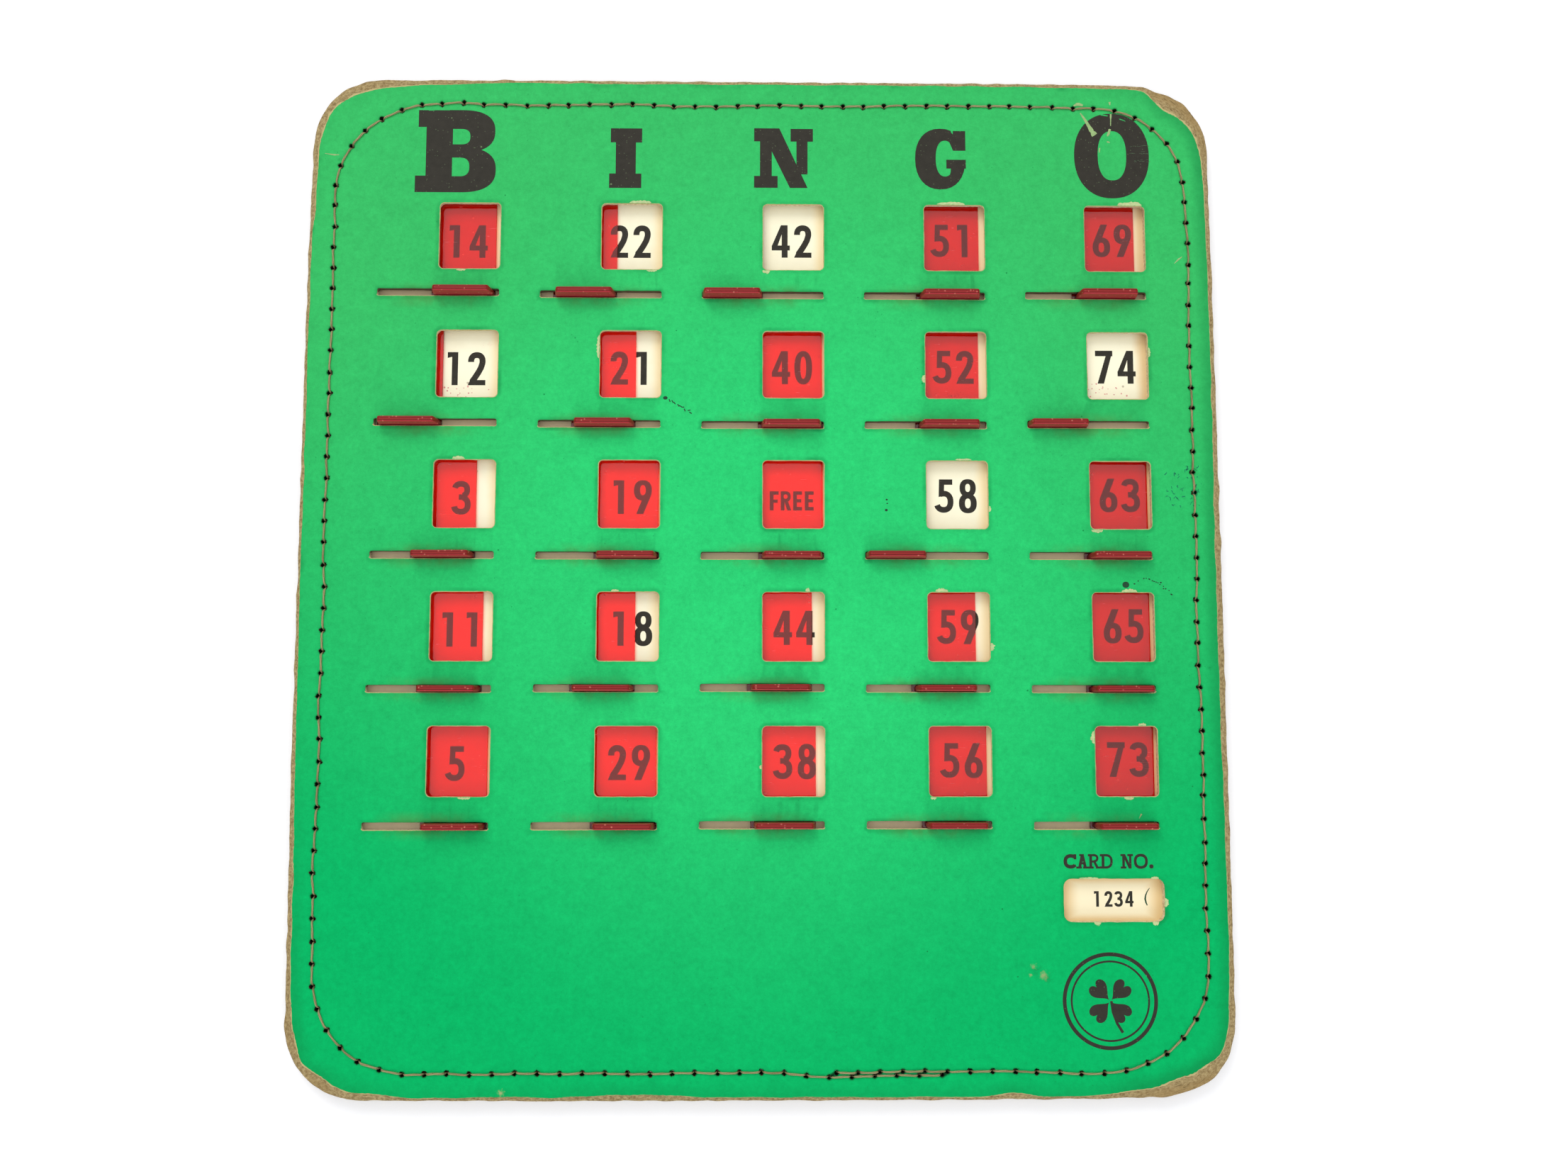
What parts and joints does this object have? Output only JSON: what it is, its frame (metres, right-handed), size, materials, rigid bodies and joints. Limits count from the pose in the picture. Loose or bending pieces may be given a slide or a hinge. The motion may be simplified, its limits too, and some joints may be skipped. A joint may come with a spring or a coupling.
{
  "type": "shutter bingo card",
  "caption": "Stitched board game card with number windows, each covered or opened by a tinted sliding shutter moved by a finger tab.",
  "frame": {"origin": "middle of the card's back face, which it rests on", "axes": "+Y towards the head of the card, +X to the reader's right, +Z out of the face with the windows"},
  "size_m": [0.1906, 0.2108, 0.008],
  "materials": {
    "facing_paper": "satin printed paper, worn at the rim",
    "front_chipboard": "matte fibrous board",
    "channel_chipboard": "matte fibrous board",
    "number_paper": "matte aged paper",
    "back_chipboard": "matte fibrous board",
    "back_paper": "satin printed paper",
    "thread": "matte twisted thread",
    "shutter_plastic": "clear red, moulded"
  },
  "bodies": {
    "card": {"front_facing": "facing_paper", "front_board": "front_chipboard", "channel_board": "channel_chipboard", "number_sheet": "number_paper", "back_board": "back_chipboard", "back_facing": "back_paper", "needle_thread": "thread", "bobbin_thread": "thread"},
    "shutter_b1": {"shutter_b1": "shutter_plastic"},
    "shutter_b2": {"shutter_b2": "shutter_plastic"},
    "shutter_b3": {"shutter_b3": "shutter_plastic"},
    "shutter_b4": {"shutter_b4": "shutter_plastic"},
    "shutter_b5": {"shutter_b5": "shutter_plastic"},
    "shutter_i1": {"shutter_i1": "shutter_plastic"},
    "shutter_i2": {"shutter_i2": "shutter_plastic"},
    "shutter_i3": {"shutter_i3": "shutter_plastic"},
    "shutter_i4": {"shutter_i4": "shutter_plastic"},
    "shutter_i5": {"shutter_i5": "shutter_plastic"},
    "shutter_n1": {"shutter_n1": "shutter_plastic"},
    "shutter_n2": {"shutter_n2": "shutter_plastic"},
    "shutter_n3": {"shutter_n3": "shutter_plastic"},
    "shutter_n4": {"shutter_n4": "shutter_plastic"},
    "shutter_n5": {"shutter_n5": "shutter_plastic"},
    "shutter_g1": {"shutter_g1": "shutter_plastic"},
    "shutter_g2": {"shutter_g2": "shutter_plastic"},
    "shutter_g3": {"shutter_g3": "shutter_plastic"},
    "shutter_g4": {"shutter_g4": "shutter_plastic"},
    "shutter_g5": {"shutter_g5": "shutter_plastic"},
    "shutter_o1": {"shutter_o1": "shutter_plastic"},
    "shutter_o2": {"shutter_o2": "shutter_plastic"},
    "shutter_o3": {"shutter_o3": "shutter_plastic"},
    "shutter_o4": {"shutter_o4": "shutter_plastic"},
    "shutter_o5": {"shutter_o5": "shutter_plastic"}
  },
  "joints": [
    {"name": "slide_b1", "type": "slide", "parent": "card", "child": "shutter_b1", "axis": [1, 0, 0], "range_m": [-0.01165, 0.00115]},
    {"name": "slide_b2", "type": "slide", "parent": "card", "child": "shutter_b2", "axis": [1, 0, 0], "range_m": [-0.00102, 0.01178]},
    {"name": "slide_b3", "type": "slide", "parent": "card", "child": "shutter_b3", "axis": [1, 0, 0], "range_m": [-0.00858, 0.00422]},
    {"name": "slide_b4", "type": "slide", "parent": "card", "child": "shutter_b4", "axis": [1, 0, 0], "range_m": [-0.0105, 0.0023]},
    {"name": "slide_b5", "type": "slide", "parent": "card", "child": "shutter_b5", "axis": [1, 0, 0], "range_m": [-0.01203, 0.00077]},
    {"name": "slide_i1", "type": "slide", "parent": "card", "child": "shutter_i1", "axis": [1, 0, 0], "range_m": [-0.0032, 0.0096]},
    {"name": "slide_i2", "type": "slide", "parent": "card", "child": "shutter_i2", "axis": [1, 0, 0], "range_m": [-0.00742, 0.00538]},
    {"name": "slide_i3", "type": "slide", "parent": "card", "child": "shutter_i3", "axis": [1, 0, 0], "range_m": [-0.01242, 0.00038]},
    {"name": "slide_i4", "type": "slide", "parent": "card", "child": "shutter_i4", "axis": [1, 0, 0], "range_m": [-0.00781, 0.00499]},
    {"name": "slide_i5", "type": "slide", "parent": "card", "child": "shutter_i5", "axis": [1, 0, 0], "range_m": [-0.01242, 0.00038]},
    {"name": "slide_n1", "type": "slide", "parent": "card", "child": "shutter_n1", "axis": [1, 0, 0], "range_m": [0, 0.0128]},
    {"name": "slide_n2", "type": "slide", "parent": "card", "child": "shutter_n2", "axis": [1, 0, 0], "range_m": [-0.01242, 0.00038]},
    {"name": "slide_n3", "type": "slide", "parent": "card", "child": "shutter_n3", "axis": [1, 0, 0], "range_m": [-0.01254, 0.00026]},
    {"name": "slide_n4", "type": "slide", "parent": "card", "child": "shutter_n4", "axis": [1, 0, 0], "range_m": [-0.01024, 0.00256]},
    {"name": "slide_n5", "type": "slide", "parent": "card", "child": "shutter_n5", "axis": [1, 0, 0], "range_m": [-0.01101, 0.00179]},
    {"name": "slide_g1", "type": "slide", "parent": "card", "child": "shutter_g1", "axis": [1, 0, 0], "range_m": [-0.01178, 0.00102]},
    {"name": "slide_g2", "type": "slide", "parent": "card", "child": "shutter_g2", "axis": [1, 0, 0], "range_m": [-0.01139, 0.00141]},
    {"name": "slide_g3", "type": "slide", "parent": "card", "child": "shutter_g3", "axis": [1, 0, 0], "range_m": [0, 0.0128]},
    {"name": "slide_g4", "type": "slide", "parent": "card", "child": "shutter_g4", "axis": [1, 0, 0], "range_m": [-0.01011, 0.00269]},
    {"name": "slide_g5", "type": "slide", "parent": "card", "child": "shutter_g5", "axis": [1, 0, 0], "range_m": [-0.01203, 0.00077]},
    {"name": "slide_o1", "type": "slide", "parent": "card", "child": "shutter_o1", "axis": [1, 0, 0], "range_m": [-0.01088, 0.00192]},
    {"name": "slide_o2", "type": "slide", "parent": "card", "child": "shutter_o2", "axis": [1, 0, 0], "range_m": [0, 0.0128]},
    {"name": "slide_o3", "type": "slide", "parent": "card", "child": "shutter_o3", "axis": [1, 0, 0], "range_m": [-0.01242, 0.00038]},
    {"name": "slide_o4", "type": "slide", "parent": "card", "child": "shutter_o4", "axis": [1, 0, 0], "range_m": [-0.01229, 0.00051]},
    {"name": "slide_o5", "type": "slide", "parent": "card", "child": "shutter_o5", "axis": [1, 0, 0], "range_m": [-0.01242, 0.00038]}
  ]
}
